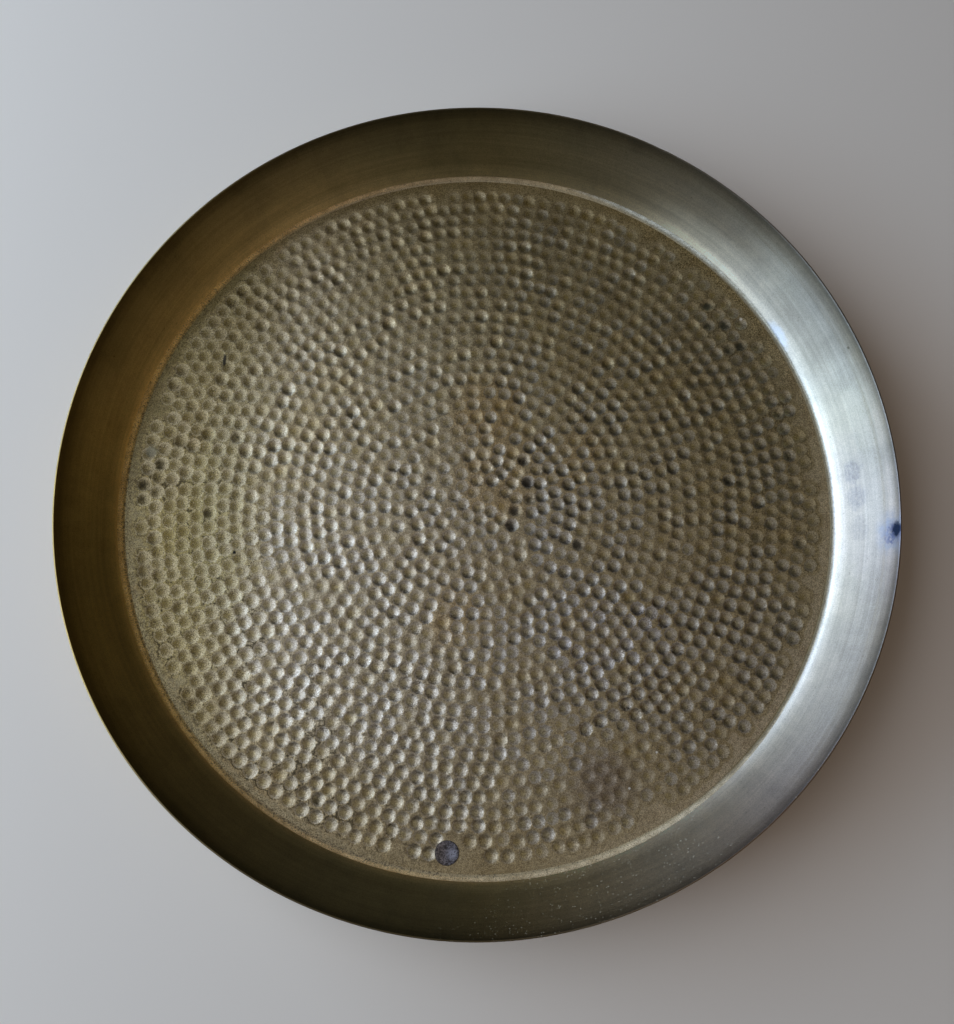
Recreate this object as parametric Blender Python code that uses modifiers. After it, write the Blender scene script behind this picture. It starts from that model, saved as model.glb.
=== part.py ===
"""Round brass serving tray: a hammered floor plate, a smooth flared wall ring standing round it,
the braze bead that joins the two on the inside, and a round solder spot on the floor."""
import math

import bpy

# Driving dimensions, in metres
RIM_RADIUS = 0.250        # outer edge of the rim
RIM_HEIGHT = 0.047        # top of the rim above the table
CORNER_RADIUS = 0.2245    # where the wall's inner face meets the floor's top face
SHEET = 0.0012            # thickness of the wall's sheet
PLATE = 0.0015            # floor plate, measured over its hammer dimples
FOOT_TOP = 0.008          # height up to which the wall eases out of the floor
FOOT_SLOPE = math.radians(50.0)  # slope of the wall at the floor, from the horizontal
LIP_DEPTH = 0.014         # upper part of the wall, which curves towards the upright
LIP_SLOPE = math.radians(75.0)   # slope of the wall at the rim
EDGE_ROUND = 0.00025      # rounding of the cut edges
BEAD_RADIUS = 0.0040      # hollow radius of the braze bead
BEAD_TOE = 0.0002         # thickness left where the bead runs out
SPOT_RADIUS = 0.0073      # solder spot
SPOT_THICKNESS = 0.0004
SPOT_CENTRE = (-0.0090, -0.2108)
GAP = 0.0003              # clearance between neighbouring pieces

# Fineness of the round shapes
TURN_STEPS = 96
FOOT_LEVELS = 3
LIP_LEVELS = 5
BEAD_STEPS = 5
SPOT_STEPS = 32
EDGE_SEGMENTS = 2
SHARP_ANGLE = math.radians(35.0)

# Worked out from the driving dimensions. A flare is the growth in radius for each unit of height.
LIP_START = RIM_HEIGHT - LIP_DEPTH
FOOT_FLARE = 1.0 / math.tan(FOOT_SLOPE)
LIP_FLARE = 1.0 / math.tan(LIP_SLOPE)
RIM_INNER_RADIUS = RIM_RADIUS - SHEET * math.sin(LIP_SLOPE)
FOOT_RISE = FOOT_TOP - PLATE
CURVED_GROWTH = (FOOT_FLARE * FOOT_RISE + LIP_FLARE * LIP_DEPTH) / 2
WALL_FLARE = (RIM_INNER_RADIUS - CORNER_RADIUS - CURVED_GROWTH) / (
    FOOT_RISE / 2 + LIP_START - FOOT_TOP + LIP_DEPTH / 2)


def clear_scene():
    for thing in list(bpy.data.objects):
        bpy.data.objects.remove(thing, do_unlink=True)


def make_collection(name):
    collection = bpy.data.collections.new(name)
    bpy.context.scene.collection.children.link(collection)
    return collection


def make_material(name, colour, roughness, metallic=1.0):
    material = bpy.data.materials.new(name)
    material.use_nodes = True
    shader = material.node_tree.nodes["Principled BSDF"]
    shader.inputs["Base Color"].default_value = (*colour, 1.0)
    shader.inputs["Roughness"].default_value = roughness
    shader.inputs["Metallic"].default_value = metallic
    return material


def finish_part(part, collection, material):
    """Give a part its material and smooth shading, and file it under the tray's collection."""
    for owner in list(part.users_collection):
        owner.objects.unlink(part)
    collection.objects.link(part)
    part.data.materials.append(material)
    part.data.shade_smooth()
    part.data.set_sharp_from_angle(angle=SHARP_ANGLE)


def round_edges(part, width):
    bevel = part.modifiers.new("rounded edges", "BEVEL")
    bevel.width = width
    bevel.segments = EDGE_SEGMENTS
    bevel.limit_method = "ANGLE"
    bevel.angle_limit = SHARP_ANGLE


def turned_part(name, profile):
    """Turn a closed profile of (radius, height) points, listed down its outer side first, about Z."""
    count = len(profile)
    mesh = bpy.data.meshes.new(name)
    points = [(radius, 0.0, height) for radius, height in profile]
    mesh.from_pydata(points, [(i, (i + 1) % count) for i in range(count)], [])
    part = bpy.data.objects.new(name, mesh)
    turn = part.modifiers.new("turn", "SCREW")
    turn.steps = TURN_STEPS
    turn.render_steps = TURN_STEPS
    turn.use_merge_vertices = True
    turn.merge_threshold = 0.00001
    bpy.context.scene.collection.objects.link(part)
    return part


def wall_flare(height):
    """Flare of the wall: easing out of the floor at the foot, then straight, then upright at the lip."""
    if height < FOOT_TOP:
        ease = min(1.0, (FOOT_TOP - height) / FOOT_RISE)
        return WALL_FLARE + (FOOT_FLARE - WALL_FLARE) * ease
    into_lip = max(0.0, height - LIP_START) / LIP_DEPTH
    return WALL_FLARE + (LIP_FLARE - WALL_FLARE) * into_lip


def wall_radius(height):
    """Radius of the wall's inner face, added up over the stretches of its flare."""
    if height < PLATE:
        return CORNER_RADIUS - FOOT_FLARE * (PLATE - height)
    radius = CORNER_RADIUS
    levels = [PLATE, FOOT_TOP, LIP_START, RIM_HEIGHT]
    for low, high in zip(levels, levels[1:]):
        top = min(height, high)
        if top > low:
            radius += (wall_flare(low) + wall_flare(top)) / 2 * (top - low)
    return radius


def wall_profile():
    """Section of the wall ring: the foot is cut level, and the rim is cut square to the sheet."""
    heights = [PLATE + FOOT_RISE * i / FOOT_LEVELS for i in range(FOOT_LEVELS + 1)]
    heights += [LIP_START + LIP_DEPTH * i / LIP_LEVELS for i in range(LIP_LEVELS + 1)]
    inner = [(wall_radius(0.0), 0.0)] + [(wall_radius(height), height) for height in heights]
    outer = []
    for height in heights:
        slope = math.atan2(1.0, wall_flare(height))
        outer.append((wall_radius(height) + SHEET * math.sin(slope), height - SHEET * math.cos(slope)))
    foot = (wall_radius(0.0) + SHEET / math.sin(FOOT_SLOPE), 0.0)
    return outer[::-1] + [foot] + inner


def bead_profile():
    """Section of the bead: a hollow fillet in the corner of floor and wall, clear of both."""
    base = PLATE + GAP
    corner = wall_radius(base) - GAP / math.sin(FOOT_SLOPE)
    half = FOOT_SLOPE / 2
    reach = BEAD_RADIUS / math.cos(half)
    centre = (corner - reach * math.sin(half), base + reach * math.cos(half))

    def on_circle(radius, angle):
        return centre[0] + radius * math.sin(angle), centre[1] - radius * math.cos(angle)

    wall_end = on_circle(BEAD_RADIUS, FOOT_SLOPE)
    floor_end = on_circle(BEAD_RADIUS, 0.0)
    face = [on_circle(BEAD_RADIUS - BEAD_TOE, FOOT_SLOPE * i / BEAD_STEPS) for i in range(BEAD_STEPS + 1)]
    return [wall_end, (corner, base), floor_end] + face


def make_hammered_floor(collection):
    edge = wall_radius(0.0) - GAP
    bpy.ops.mesh.primitive_cone_add(
        vertices=TURN_STEPS, radius1=edge, radius2=edge + FOOT_FLARE * PLATE, depth=PLATE,
        end_fill_type="TRIFAN", location=(0.0, 0.0, PLATE / 2))
    floor = bpy.context.object
    floor.name = "hammered_floor"
    finish_part(floor, collection, make_material("hammered brass", (0.42, 0.35, 0.20), 0.38))


def make_flared_wall(collection):
    wall = turned_part("flared_wall", wall_profile())
    finish_part(wall, collection, make_material("brushed brass", (0.46, 0.40, 0.26), 0.32))
    round_edges(wall, EDGE_ROUND)


def make_braze_bead(collection):
    bead = turned_part("braze_bead", bead_profile())
    finish_part(bead, collection, make_material("braze", (0.58, 0.44, 0.22), 0.40))


def make_solder_spot(collection):
    height = PLATE + GAP + SPOT_THICKNESS / 2
    bpy.ops.mesh.primitive_cylinder_add(
        vertices=SPOT_STEPS, radius=SPOT_RADIUS, depth=SPOT_THICKNESS, end_fill_type="TRIFAN",
        location=(*SPOT_CENTRE, height))
    spot = bpy.context.object
    spot.name = "solder_spot"
    finish_part(spot, collection, make_material("grey solder", (0.33, 0.32, 0.34), 0.50))


clear_scene()
tray = make_collection("round_serving_tray")
make_hammered_floor(tray)
make_flared_wall(tray)
make_braze_bead(tray)
make_solder_spot(tray)
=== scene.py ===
import math
import random

import bpy
from mathutils import Matrix, Vector, kdtree, noise
from mathutils.geometry import delaunay_2d_cdt


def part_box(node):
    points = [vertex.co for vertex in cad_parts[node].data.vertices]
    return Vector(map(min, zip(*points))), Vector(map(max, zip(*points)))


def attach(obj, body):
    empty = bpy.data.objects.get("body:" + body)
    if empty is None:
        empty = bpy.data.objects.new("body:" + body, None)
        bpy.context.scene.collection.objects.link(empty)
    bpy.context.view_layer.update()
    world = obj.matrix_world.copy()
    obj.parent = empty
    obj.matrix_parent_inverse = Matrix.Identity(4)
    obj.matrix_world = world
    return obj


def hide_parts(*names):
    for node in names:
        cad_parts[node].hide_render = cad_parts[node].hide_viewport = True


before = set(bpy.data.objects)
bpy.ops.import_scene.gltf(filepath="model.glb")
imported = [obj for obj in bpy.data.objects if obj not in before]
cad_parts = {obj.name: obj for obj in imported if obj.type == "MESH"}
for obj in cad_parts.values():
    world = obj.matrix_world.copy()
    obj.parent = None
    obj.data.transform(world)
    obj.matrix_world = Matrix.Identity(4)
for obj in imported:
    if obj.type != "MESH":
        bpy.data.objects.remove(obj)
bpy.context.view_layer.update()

# Camera. The tray is photographed from its near side, almost straight down, with a wide phone lens
# held a little askew. The focal length is given in pixels of the 954 by 1024 picture.
CAMERA_PLACE = (-0.0003, -0.1129, 0.6141)
CAMERA_TILT = math.radians(10.15)
CAMERA_ROLL = math.radians(2.6)
FOCAL_PIXELS = 980.6
PICTURE_HEIGHT = 1024
SENSOR_WIDTH = 36.0
NEAR_CLIP = 0.01

lens = bpy.data.cameras.new("photo_camera")
lens.sensor_width = SENSOR_WIDTH
lens.lens = FOCAL_PIXELS * SENSOR_WIDTH / PICTURE_HEIGHT
lens.clip_start = NEAR_CLIP
camera = bpy.data.objects.new("photo_camera", lens)
camera.location = CAMERA_PLACE
camera.rotation_euler = (
    Matrix.Rotation(CAMERA_TILT, 3, "X") @ Matrix.Rotation(CAMERA_ROLL, 3, "Z")).to_euler()
bpy.context.scene.collection.objects.link(camera)
bpy.context.scene.camera = camera
bpy.context.scene.view_settings.view_transform = "Standard"

# Stage. A wide plain pale floor under the tray, a hair below its underside.
STAGE_SIZE = 8.0
STAGE_DROP = 0.0002
STAGE_COLOUR = (0.77, 0.66, 0.57)
STAGE_ROUGHNESS = 0.75

bpy.ops.object.select_all(action="DESELECT")
bpy.ops.mesh.primitive_plane_add(size=STAGE_SIZE, location=(0.0, 0.0, -STAGE_DROP))
stage = bpy.context.object
stage.name = "pale_floor"
bpy.ops.object.transform_apply(location=True, rotation=True, scale=True)
stage_finish = bpy.data.materials.new("pale floor")
stage_finish.use_nodes = True
stage_shader = stage_finish.node_tree.nodes["Principled BSDF"]
stage_shader.inputs["Base Color"].default_value = (*STAGE_COLOUR, 1.0)
stage_shader.inputs["Roughness"].default_value = STAGE_ROUGHNESS
stage.data.materials.append(stage_finish)

# Light. A wide soft window on the left, as in the photograph, the lit wall and ceiling above it, the
# dimmer ceiling overhead, a dim warm panel in front on the right, and a nearly dark room.
WINDOW_PLACE, WINDOW_SIZE, WINDOW_POWER = (-1.73, 0.27, 0.68), (2.7, 0.90), 50.0
WINDOW_COLOUR = (0.55, 0.76, 1.0)
GLOW_PLACE, GLOW_SIZE, GLOW_POWER = (-1.19, 0.05, 1.48), (2.2, 1.14), 14.0
GLOW_COLOUR = (0.80, 0.88, 1.0)
CEILING_PLACE, CEILING_SIZE, CEILING_POWER = (0.12, -0.25, 1.9), (1.9, 1.9), 3.7
CEILING_COLOUR = (1.0, 0.96, 0.90)
PANEL_PLACE, PANEL_SIZE, PANEL_POWER = (1.45, -0.75, 0.85), (2.4, 1.2), 1.2
PANEL_COLOUR = (1.0, 0.62, 0.25)
ROOM_COLOUR = (0.014, 0.010, 0.006)


def soft_light(name, place, size, power, colour):
    """A rectangular lamp that faces the middle of the tray."""
    lamp = bpy.data.lights.new(name, "AREA")
    lamp.shape = "RECTANGLE"
    lamp.size, lamp.size_y = size
    lamp.energy = power
    lamp.color = colour
    light = bpy.data.objects.new(name, lamp)
    light.location = place
    light.rotation_euler = (-Vector(place)).to_track_quat("-Z", "Y").to_euler()
    bpy.context.scene.collection.objects.link(light)


soft_light("window_light", WINDOW_PLACE, WINDOW_SIZE, WINDOW_POWER, WINDOW_COLOUR)
soft_light("glow_light", GLOW_PLACE, GLOW_SIZE, GLOW_POWER, GLOW_COLOUR)
soft_light("ceiling_light", CEILING_PLACE, CEILING_SIZE, CEILING_POWER, CEILING_COLOUR)
soft_light("warm_panel", PANEL_PLACE, PANEL_SIZE, PANEL_POWER, PANEL_COLOUR)
world = bpy.data.worlds.new("dim_room")
world.use_nodes = True
world.node_tree.nodes["Background"].inputs["Color"].default_value = (*ROOM_COLOUR, 1.0)
bpy.context.scene.world = world

# Hammered floor. A round plate of brass sheet, struck from above with a round-faced hammer in ring
# after ring, so that each blow leaves a round hollow on top and a low bump underneath. A narrow
# margin at the edge, where the wall ring is brazed on, is left unstruck.
floor_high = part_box("hammered_floor")[1]
PLATE_TOP = floor_high[2]
PLATE_EDGE_TOP = floor_high[0]
EDGE_SLANT = 0.00126       # the plate's edge leans with the wall
PLATE_EDGE_FOOT = PLATE_EDGE_TOP - EDGE_SLANT
PLATE_SHEET = 0.00066      # thickness of the struck sheet
LAND_WAVE = 0.00012        # slow rise and fall of the land between the blows
EDGE_POINTS = 400
RING_PITCH = 0.0085
BLOW_PITCH = 0.0092
LAST_RING = 25
STRIDE_SPREAD = 0.11       # how unevenly the blows of a ring follow one another
LOOSE_RINGS = 6            # the first rings, which are struck less truly
LOOSE_WANDER = 0.0014
USUAL_WANDER = 0.0005
MISSED_SHARE = 0.12        # blows left out of the last ring
SOLDER_CLEAR = 0.0085      # no blows under the solder
BLOW_CLEAR = 0.0078        # blows nearer than this are set apart
EASING_ROUNDS = 5
EASING_SHARE = 0.4
RING_HOLD = 0.65           # how firmly a blow keeps to its ring
BLOW_RADIUS = 0.0042
BLOW_DEPTH = 0.00095
BLOW_EDGE = 0.035          # softness of a hollow's edge
BLOW_LIP = 0.00002         # metal raised round a hollow
BLOW_REACH = 1.6 * BLOW_RADIUS
UNDER_SPREAD = 1.12        # width of the bumps underneath against the hollows
UNDER_SHARE = 0.85         # and their height
UNDER_LEAST = 0.00002
hammer = random.Random(11)

# Places where the blows fell harder (x, y, reach and extra depth) and where hollows have gone
# black or grey with tarnish (x, y, strength), in metres on the plate
hard_blows = ((0.085, -0.078, 0.034, 0.60), (-0.060, -0.110, 0.080, 0.26), (-0.075, -0.020, 0.050, 0.04),
              (0.030, 0.010, 0.022, 0.35), (0.165, -0.045, 0.030, 0.25))
tarnished = (
    (0.0295, 0.0291, 0.7), (0.0300, 0.0158, 0.9), (0.0331, 0.0074, 0.6), (0.0257, -0.0005, 0.8),
    (0.0262, -0.0098, 0.8), (0.0651, -0.0177, 0.9), (0.0657, -0.0353, 0.4), (0.0146, 0.0226, 0.5),
    (-0.0326, 0.0197, 0.6), (-0.1070, 0.0017, 0.5), (-0.2012, 0.0166, 0.65), (-0.2029, 0.0077, 0.45),
    (-0.2117, 0.0017, 0.65), (-0.2034, -0.0020, 0.45), (-0.2115, -0.0077, 0.60), (-0.1554, 0.0377, 0.55),
    (-0.1674, -0.0133, 0.60), (-0.0843, -0.1838, 0.6), (-0.1220, 0.0946, 0.5), (0.1458, 0.1445, 0.75),
    (0.1469, 0.1299, 0.65), (0.1590, 0.1305, 0.75), (0.1584, 0.1167, 0.65), (0.1710, 0.1149, 0.75),
    (0.1918, 0.0717, 0.5), (0.2006, 0.0451, 0.5), (0.1680, 0.0275, 0.5), (0.1605, 0.0206, 0.65),
    (0.1794, -0.0110, 0.5), (0.1794, -0.0213, 0.5), (0.2050, -0.0150, 0.5))


def held(value):
    """Hold a value between 0 and 1."""
    return min(1.0, max(0.0, value))


def drift_at(x, y, lumps, layer):
    """Slow noise over the plate, in lumps to the metre."""
    return noise.noise(Vector((x * lumps, y * lumps, layer)))


def blow_force(x, y):
    """Depth of a blow against the usual one: harder and softer in patches, and never twice the same."""
    force = 0.76 + 0.34 * drift_at(x, y, 26.0, 3.7) + hammer.gauss(0.0, 0.22)
    for hard_x, hard_y, reach, extra in hard_blows:
        near = math.exp(-((x - hard_x) ** 2 + (y - hard_y) ** 2) / reach ** 2)
        force += extra * hammer.uniform(0.1, 1.5) * near
    # Softer at the left, harder near the viewer, softer far off and below right, harder above right
    force -= 0.30 * held((-x - 0.12) / 0.05)
    force += 0.20 * held((-y - 0.05) / 0.06) - 0.28 * held((y - 0.03) / 0.08)
    force -= 0.35 * held((x - 0.01) / 0.05) * held((-y - 0.11) / 0.04)
    force += 0.26 * held((x - 0.05) / 0.05) * held((y - 0.04) / 0.05)
    return min(1.2, max(0.28, force))


spot_low, spot_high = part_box("solder_spot")
solder_place = Vector(((spot_low[0] + spot_high[0]) / 2, (spot_low[1] + spot_high[1]) / 2, 0.0))
places = []
for ring in range(LAST_RING + 1):
    ring_radius = ring * RING_PITCH
    count = max(1, round(2 * math.pi * ring_radius / BLOW_PITCH))
    strides = [hammer.gauss(1.0, STRIDE_SPREAD) for blow in range(count)]
    turn = hammer.uniform(0.0, 2 * math.pi)
    wander = LOOSE_WANDER if ring < LOOSE_RINGS else USUAL_WANDER
    for stride in strides:
        turn += 2 * math.pi * stride / sum(strides)
        reach = ring_radius + hammer.gauss(0.0, wander)
        place = Vector((reach * math.cos(turn), reach * math.sin(turn), 0.0))
        missed = ring == LAST_RING and hammer.random() < MISSED_SHARE
        soldered = (place - solder_place).length < SOLDER_CLEAR
        if not missed and not soldered:
            places.append(place)


def places_tree():
    tree = kdtree.KDTree(len(places))
    for index, place in enumerate(places):
        tree.insert(place, index)
    tree.balance()
    return tree


# The smith sets each blow beside its neighbours and seldom on top of them
for easing in range(EASING_ROUNDS):
    blow_places = places_tree()
    moved = []
    for place in places:
        push = Vector((0.0, 0.0, 0.0))
        for other, index, distance in blow_places.find_range(place, BLOW_CLEAR):
            if distance > 0.0:
                push += (place - other) / distance * (BLOW_CLEAR - distance) * EASING_SHARE
        outward = place.normalized()
        moved.append(place + push - RING_HOLD * push.dot(outward) * outward)
    places = moved
blow_places = places_tree()

# Each tarnish mark goes to the nearest hollow. Then every blow gets its width, depth, stain and polish.
stains = {}
for stain_x, stain_y, strength in tarnished:
    place, index, distance = blow_places.find((stain_x, stain_y, 0.0))
    stains[index] = max(strength, stains.get(index, 0.0))
blows = []
for index, (x, y, z) in enumerate(places):
    force = blow_force(x, y)
    stain = stains.get(index, 0.35 * max(0.0, hammer.random() - 0.85) / 0.15)
    shine = 0.35 + 0.45 * force + 0.5 * drift_at(x, y, 31.0, 9.2)
    shine = held(shine + hammer.gauss(0.0, 0.26))
    swell = 0.90 + 0.12 * force + 0.14 * held((-x - 0.10) / 0.06)
    blows.append((x, y, BLOW_RADIUS * swell, BLOW_DEPTH * force, stain, shine))


def struck(x, y, spread=1.0):
    """What the blows did at a place: depth, how far it is into a hollow, stain, polish, room on the land, and
    how near it is to the left side of a hollow, away from the window, where the finish paints shade."""
    depth, inside, stain, polish, lift, apart, shade_side = 0.0, 0.0, 0.0, 0.0, 0.0, 1.0, 0.0
    for place, index, distance in blow_places.find_range((x, y, 0.0), BLOW_REACH):
        blow_x, blow_y, radius, blow_depth, mark, shine = blows[index]
        out = distance / (radius * spread)
        bowl = 1.0 - out ** 2
        hollow = blow_depth * 0.5 * (bowl + math.sqrt(bowl ** 2 + BLOW_EDGE ** 2))
        lift = max(lift, BLOW_LIP * math.exp(-((out - 1.10) / 0.12) ** 2))
        apart = min(apart, out - 1.0)
        if hollow > depth:
            off_centre = math.hypot(x - blow_x + 0.25 * radius, y - blow_y + 0.12 * radius) / radius
            off_side = math.hypot(x - blow_x + 0.38 * radius, y - blow_y + 0.12 * radius) / radius
            depth, inside, polish = hollow, max(0.0, bowl), shine
            stain = mark * held(1.3 - off_centre)
            shade_side = held(1.25 - off_side) if bowl > 0.0 else 0.0
    return depth - lift, inside, stain, polish, max(0.0, apart), shade_side


def plate_points(circles, spread, spacing, land_pitch, edge_radius):
    """Points for one face of the plate: its edge, circles round every blow, and a filling on the land.
    A circle is given by its share of the blow's radius and its number of points."""
    points = [Vector((edge_radius * math.cos(2 * math.pi * i / EDGE_POINTS),
                      edge_radius * math.sin(2 * math.pi * i / EDGE_POINTS))) for i in range(EDGE_POINTS)]
    taken = {}

    def free(x, y, least):
        cell_x, cell_y = int(x // spacing), int(y // spacing)
        for i in (-1, 0, 1):
            for j in (-1, 0, 1):
                for other_x, other_y in taken.get((cell_x + i, cell_y + j), ()):
                    if (x - other_x) ** 2 + (y - other_y) ** 2 < least ** 2:
                        return False
        return math.hypot(x, y) < edge_radius - spacing

    def take(x, y):
        points.append(Vector((x, y)))
        taken.setdefault((int(x // spacing), int(y // spacing)), []).append((x, y))

    for share, sides in circles:
        for blow_x, blow_y, radius, *rest in blows:
            start = hammer.uniform(0.0, 2 * math.pi)
            for side in range(sides):
                angle = start + 2 * math.pi * side / sides
                x = blow_x + share * radius * spread * math.cos(angle)
                y = blow_y + share * radius * spread * math.sin(angle)
                if free(x, y, 0.8 * spacing):
                    take(x, y)
    rows = int(2 * edge_radius / land_pitch) + 2
    for row in range(rows):
        for column in range(rows):
            x = -edge_radius + land_pitch * (column + 0.5 * (row % 2))
            y = -edge_radius + land_pitch * row
            if struck(x, y, spread)[1] == 0.0 and free(x, y, spacing):
                take(x, y)
    return points


def plate_face(points, height):
    """Triangles between the points of one face, with each point's height and marks."""
    flat, edges, triangles, sources, *rest = delaunay_2d_cdt(points, [], [], 0, 1e-9)
    rows = [height(point.x, point.y) for point in flat]
    rim = [0] * EDGE_POINTS
    for index, source in enumerate(sources):
        if source and source[0] < EDGE_POINTS:
            rim[source[0]] = index
    return flat, rows, triangles, rim


def land_height(x, y):
    return LAND_WAVE * drift_at(x, y, 17.0, 8.3) - LAND_WAVE


def top_height(x, y):
    depth, *marks = struck(x, y)
    return PLATE_TOP + land_height(x, y) - depth, *marks


def under_height(x, y):
    depth, *marks = struck(x, y, UNDER_SPREAD)
    base = PLATE_TOP - PLATE_SHEET + land_height(x, y)
    return max(UNDER_LEAST, base - UNDER_SHARE * depth), *marks


def mark_points(mesh, name, values):
    """Leave a value at every point of a mesh, for its finish to use."""
    layer = mesh.attributes.new(name, "FLOAT", "POINT")
    layer.data.foreach_set("value", values)


def smooth(piece, degrees):
    """Shade a piece smooth, apart from edges sharper than the angle."""
    bpy.ops.object.select_all(action="DESELECT")
    piece.select_set(True)
    bpy.context.view_layer.objects.active = piece
    bpy.ops.object.shade_smooth_by_angle(angle=math.radians(degrees))


TOP_CIRCLES = ((0.0, 1), (0.5, 5), (0.84, 9), (1.01, 11), (1.15, 11))
UNDER_CIRCLES = ((0.0, 1), (0.55, 4), (1.02, 7))
top_points = plate_points(TOP_CIRCLES, 1.0, 0.00055, 0.0022, PLATE_EDGE_TOP)
under_points = plate_points(UNDER_CIRCLES, UNDER_SPREAD, 0.0009, 0.0032, PLATE_EDGE_FOOT)
top_flat, top_rows, top_triangles, top_rim = plate_face(top_points, top_height)
under_flat, under_rows, under_triangles, under_rim = plate_face(under_points, under_height)
shift = len(top_flat)
plate_verts = [(p.x, p.y, row[0]) for p, row in zip(top_flat, top_rows)]
plate_verts += [(p.x, p.y, row[0]) for p, row in zip(under_flat, under_rows)]
plate_faces = [tuple(face) for face in top_triangles]
plate_faces += [tuple(shift + i for i in reversed(face)) for face in under_triangles]
for i in range(EDGE_POINTS):
    j = (i + 1) % EDGE_POINTS
    plate_faces.append((top_rim[j], top_rim[i], shift + under_rim[i], shift + under_rim[j]))
plate_mesh = bpy.data.meshes.new("hammered_plate")
plate_mesh.from_pydata(plate_verts, [], plate_faces)
for name, column in (("hollow", 1), ("tarnish", 2), ("polish", 3), ("corner", 4), ("shade_side", 5)):
    mark_points(plate_mesh, name, [row[column] for row in top_rows + under_rows])
mark_points(plate_mesh, "underside", [0.0] * shift + [1.0] * len(under_rows))
plate = bpy.data.objects.new("hammered_plate", plate_mesh)
bpy.context.scene.collection.objects.link(plate)
smooth(plate, 50.0)


# Tools for the finishes. Each adds one step to the material that its first value belongs to.
def new_finish(name):
    """A material with only its shader, and the Object coordinates that its patterns are drawn on."""
    material = bpy.data.materials.new(name)
    material.use_nodes = True
    nodes = material.node_tree.nodes
    return material, nodes["Principled BSDF"], nodes.new("ShaderNodeTexCoord").outputs["Object"]


def new_node(beside, kind):
    return beside.id_data.nodes.new("ShaderNode" + kind)


def feed(socket, value):
    """Link a value to a socket, or set it there where it is plain."""
    if isinstance(value, bpy.types.NodeSocket):
        socket.id_data.links.new(value, socket)
    elif isinstance(value, tuple) and len(value) == 3 and socket.type == "RGBA":
        socket.default_value = (*value, 1.0)
    else:
        socket.default_value = value


def cloud(place, scale, detail=4.0, roughness=0.55, stretch=None, offset=None):
    """Soft noise from 0 to 1 over the piece; scale is in lumps to the metre."""
    if stretch or offset:
        move = new_node(place, "Mapping")
        move.inputs["Scale"].default_value = stretch or (1.0, 1.0, 1.0)
        move.inputs["Location"].default_value = offset or (0.0, 0.0, 0.0)
        feed(move.inputs["Vector"], place)
        place = move.outputs["Vector"]
    node = new_node(place, "TexNoise")
    for name, value in (("Vector", place), ("Scale", scale), ("Detail", detail), ("Roughness", roughness)):
        feed(node.inputs[name], value)
    return node.outputs["Fac"]


def span(value, low, high, to_low=0.0, to_high=1.0):
    """Stretch part of a value's range, clamped at both ends."""
    node = new_node(value, "MapRange")
    node.interpolation_type = "SMOOTHSTEP"
    for name, number in (("From Min", low), ("From Max", high), ("To Min", to_low), ("To Max", to_high)):
        feed(node.inputs[name], number)
    feed(node.inputs["Value"], value)
    return node.outputs["Result"]


def sums(operation, first, second):
    node = new_node(first if isinstance(first, bpy.types.NodeSocket) else second, "Math")
    node.operation = operation
    feed(node.inputs[0], first)
    feed(node.inputs[1], second)
    return node.outputs["Value"]


def plus(first, second):
    return sums("ADD", first, second)


def minus(first, second):
    return sums("SUBTRACT", first, second)


def times(first, *others):
    for other in others:
        first = sums("MULTIPLY", first, other)
    return first


def between(value, start, full, fade, end):
    """1 along the middle of a stretch of a value's range, easing to 0 at its two ends."""
    return times(span(value, start, full), span(value, fade, end, 1.0, 0.0))


def stirred(value, pattern, reach):
    """A value made uneven by a noise, up to half the reach either way."""
    return plus(value, times(minus(pattern, 0.5), reach))


def vectors(operation, place, other, result):
    node = new_node(place, "VectorMath")
    node.operation = operation
    feed(node.inputs[0], place)
    node.inputs[1].default_value = other
    return node.outputs[result]


def towards(place, east, north):
    """How far a place lies towards one side of the tray."""
    return vectors("DOT_PRODUCT", place, (east, north, 0.0), "Value")


def patch_at(place, centre, size, ragged=None, blur=0.5):
    """1 inside a round or oval patch and 0 outside it, with an edge that the ragged noise makes uneven."""
    away = vectors("DIVIDE", vectors("SUBTRACT", place, centre, "Vector"), size, "Vector")
    away = vectors("LENGTH", away, (0.0, 0.0, 0.0), "Value")
    if ragged is not None:
        away = stirred(away, ragged, 1.6)
    return span(away, 1.0 - blur, 1.0 + blur, 1.0, 0.0)


def paint(amount, under, over, mode="MIX"):
    """Lay one colour over another by an amount from 0 to 1."""
    node = new_node(amount, "Mix")
    node.data_type = "RGBA"
    node.blend_type = mode
    feed(node.inputs[0], amount)
    feed(node.inputs[6], under)
    feed(node.inputs[7], over)
    return node.outputs[2]


def glaze(amount, under, tint):
    """Darken or lighten a colour by a clear tint, by an amount from 0 to 1."""
    return paint(amount, under, tint, "MULTIPLY")


def painted_on(place, name):
    node = new_node(place, "Attribute")
    node.attribute_name = name
    return node.outputs["Fac"]


def part_of(place, axis):
    node = new_node(place, "SeparateXYZ")
    feed(node.inputs[0], place)
    return node.outputs[axis]


def grain(shader, height, distance, strength):
    node = new_node(shader, "Bump")
    feed(node.inputs["Height"], height)
    node.inputs["Distance"].default_value = distance
    node.inputs["Strength"].default_value = strength
    feed(shader.inputs["Normal"], node.outputs["Normal"])


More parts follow.
